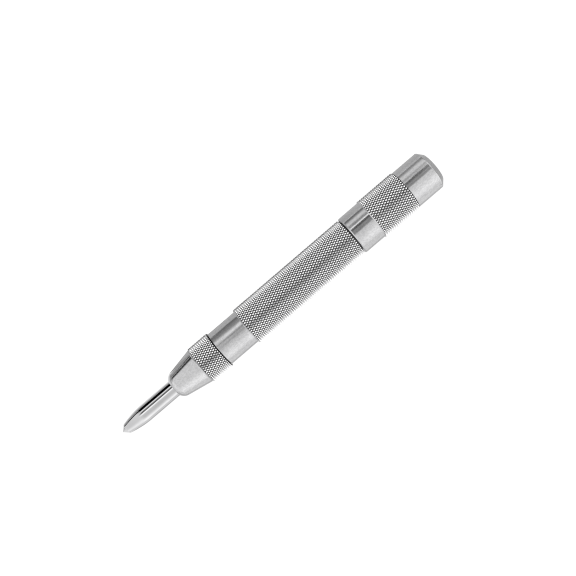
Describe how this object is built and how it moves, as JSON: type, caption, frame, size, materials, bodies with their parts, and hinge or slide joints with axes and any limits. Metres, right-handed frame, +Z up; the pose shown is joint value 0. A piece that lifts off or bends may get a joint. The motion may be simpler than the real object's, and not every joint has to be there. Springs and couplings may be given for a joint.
{
  "type": "automatic center punch",
  "caption": "Spring-loaded center punch: knurled barrel with a screwed cone nose and point in front and a knurled adjusting cap behind.",
  "frame": {"origin": "on the surface that the tool lies on, under the middle of its length and width", "axes": "+X along the tool from the point to the cap, +Z up"},
  "size_m": [0.127, 0.0142, 0.0142],
  "materials": {
    "satin_chrome": "satin chrome plate on turned and knurled steel",
    "polished_steel": "ground and polished hardened steel",
    "hardened_steel": "turned steel, hardened and oiled",
    "bronze": "turned bearing bronze",
    "spring_steel": "drawn spring wire with ground ends"
  },
  "bodies": {
    "barrel": {"barrel": "satin_chrome", "nose_collar": "satin_chrome", "guide_bush": "bronze", "return_spring": "spring_steel"},
    "point": {"punch_point": "polished_steel", "drive_stem": "hardened_steel"},
    "hammer": {"hammer": "hardened_steel", "trip_spring": "spring_steel"},
    "trip_block": {"trip_block": "hardened_steel"},
    "seat": {"spring_seat": "hardened_steel", "main_spring": "spring_steel"},
    "cap": {"adjusting_cap": "satin_chrome"}
  },
  "joints": [
    {"name": "point_slide", "type": "slide", "parent": "barrel", "child": "point", "axis": [1, 0, 0], "range_m": [0, 0.008], "stiffness_N_per_m": 250, "springref_m": -0.006, "deforming": ["return_spring"]},
    {"name": "hammer_slide", "type": "slide", "parent": "barrel", "child": "hammer", "axis": [1, 0, 0], "range_m": [0, 0.008], "stiffness_N_per_m": 1500, "springref_m": -0.002, "deforming": ["main_spring"]},
    {"name": "trip_slide", "type": "slide", "parent": "hammer", "child": "trip_block", "axis": [0, 0, 1], "range_m": [-0.00064, 0], "deforming": ["trip_spring"]},
    {"name": "cap_advance", "type": "slide", "parent": "barrel", "child": "seat", "axis": [1, 0, 0], "range_m": [0, 0.005]},
    {"name": "cap_turn", "type": "hinge", "parent": "seat", "child": "cap", "pos_m": [0.0635, 0, 0.00712], "axis": [1, 0, 0], "range_deg": [0, 1800]}
  ],
  "couplings": [
    {"joint": "hammer_slide", "follows": "point_slide", "ratio": 1},
    {"joint": "trip_slide", "follows": "point_slide", "ratio": -0.08},
    {"joint": "cap_turn", "follows": "cap_advance", "rad_per_m": 6283.2}
  ]
}
